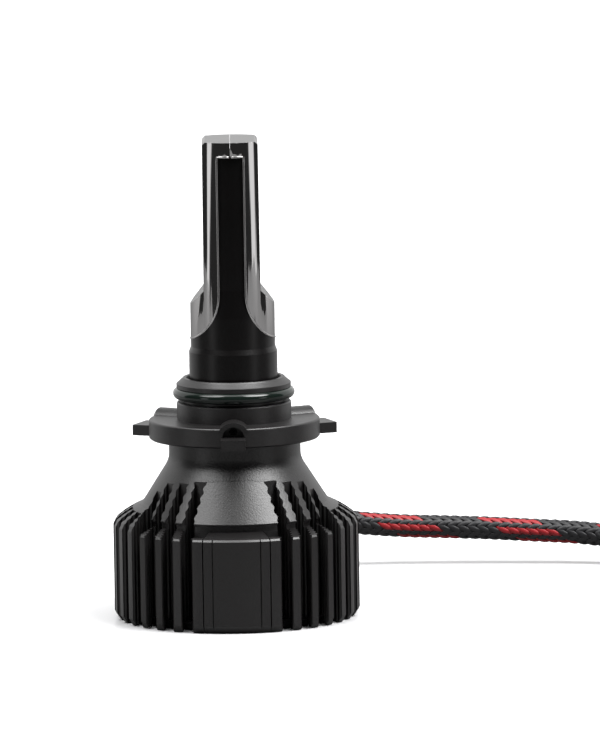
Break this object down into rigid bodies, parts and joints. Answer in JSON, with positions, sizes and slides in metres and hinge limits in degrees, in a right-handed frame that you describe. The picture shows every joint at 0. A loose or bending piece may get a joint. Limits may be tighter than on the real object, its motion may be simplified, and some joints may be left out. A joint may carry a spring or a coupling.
{
  "type": "headlight bulb",
  "caption": "LED headlight bulb with a finned heat sink, fan, turning locking collar with lugs and O-ring, chrome covered LED tower and a braided lead with a plug.",
  "frame": {"origin": "centre of the base, on the surface that the bulb stands on", "axes": "+Z along the bulb from its base to its tip; -Y is the front, +X and -X are the sides that the LEDs face; the cable leaves towards +Y"},
  "size_m": [0.1214, 0.1266, 0.0838],
  "materials": {
    "black_anodised": "satin black anodised, bead blasted",
    "chrome_plate": "mirror chrome plating, faint orange peel",
    "o_ring_rubber": "glossy moulded rubber",
    "black_plastic": "matte moulded plastic",
    "grille_paint": "satin black paint",
    "soft_black": "matte soft rubber",
    "steel": "turned steel",
    "laminated_steel": "stacked laminations",
    "magnet": "sintered ferrite",
    "bronze": "sintered bronze",
    "copper": "enamelled copper wire",
    "circuit_board": "green solder mask",
    "driver_components": "moulded components",
    "lead_insulation": "silicone insulation",
    "led_board_white": "white solder mask on metal core",
    "phosphor": "phosphor resin",
    "braided_sleeve": "red and charcoal braided sleeve",
    "terminal_brass": "tinned brass"
  },
  "bodies": {
    "lamp": {"heat_sink": "black_anodised", "lamp_post": "black_anodised", "reflector_left": "chrome_plate", "reflector_right": "chrome_plate", "post_o_ring": "o_ring_rubber", "fan_frame": "black_plastic", "plug_housing": "black_plastic", "bottom_grille": "grille_paint", "cable_gland": "soft_black", "plug_boot": "soft_black", "grille_screws": "steel", "fan_screws": "steel", "driver_screws": "steel", "reflector_screws": "steel", "fan_stator": "laminated_steel", "fan_bearing": "bronze", "fan_coils": "copper", "fan_board": "circuit_board", "driver_board": "circuit_board", "driver_parts": "driver_components", "input_leads": "lead_insulation", "led_leads": "lead_insulation", "led_board_left": "led_board_white", "led_board_right": "led_board_white", "led_chips_left": "phosphor", "led_chips_right": "phosphor", "cable": "braided_sleeve", "plug_terminals": "terminal_brass"},
    "fan_rotor": {"fan_impeller": "black_plastic", "fan_magnet": "magnet", "fan_shaft": "steel", "shaft_clip": "steel"},
    "collar": {"locking_collar": "black_anodised", "collar_screws": "steel", "o_ring": "o_ring_rubber"}
  },
  "joints": [
    {"name": "fan_spin", "type": "hinge", "parent": "lamp", "child": "fan_rotor", "pos_m": [0, 0, 0.006], "axis": [0, 0, 1], "continuous": true},
    {"name": "collar_turn", "type": "hinge", "parent": "lamp", "child": "collar", "pos_m": [0, 0, 0.0365], "axis": [0, 0, 1], "range_deg": [-120, 120]}
  ]
}
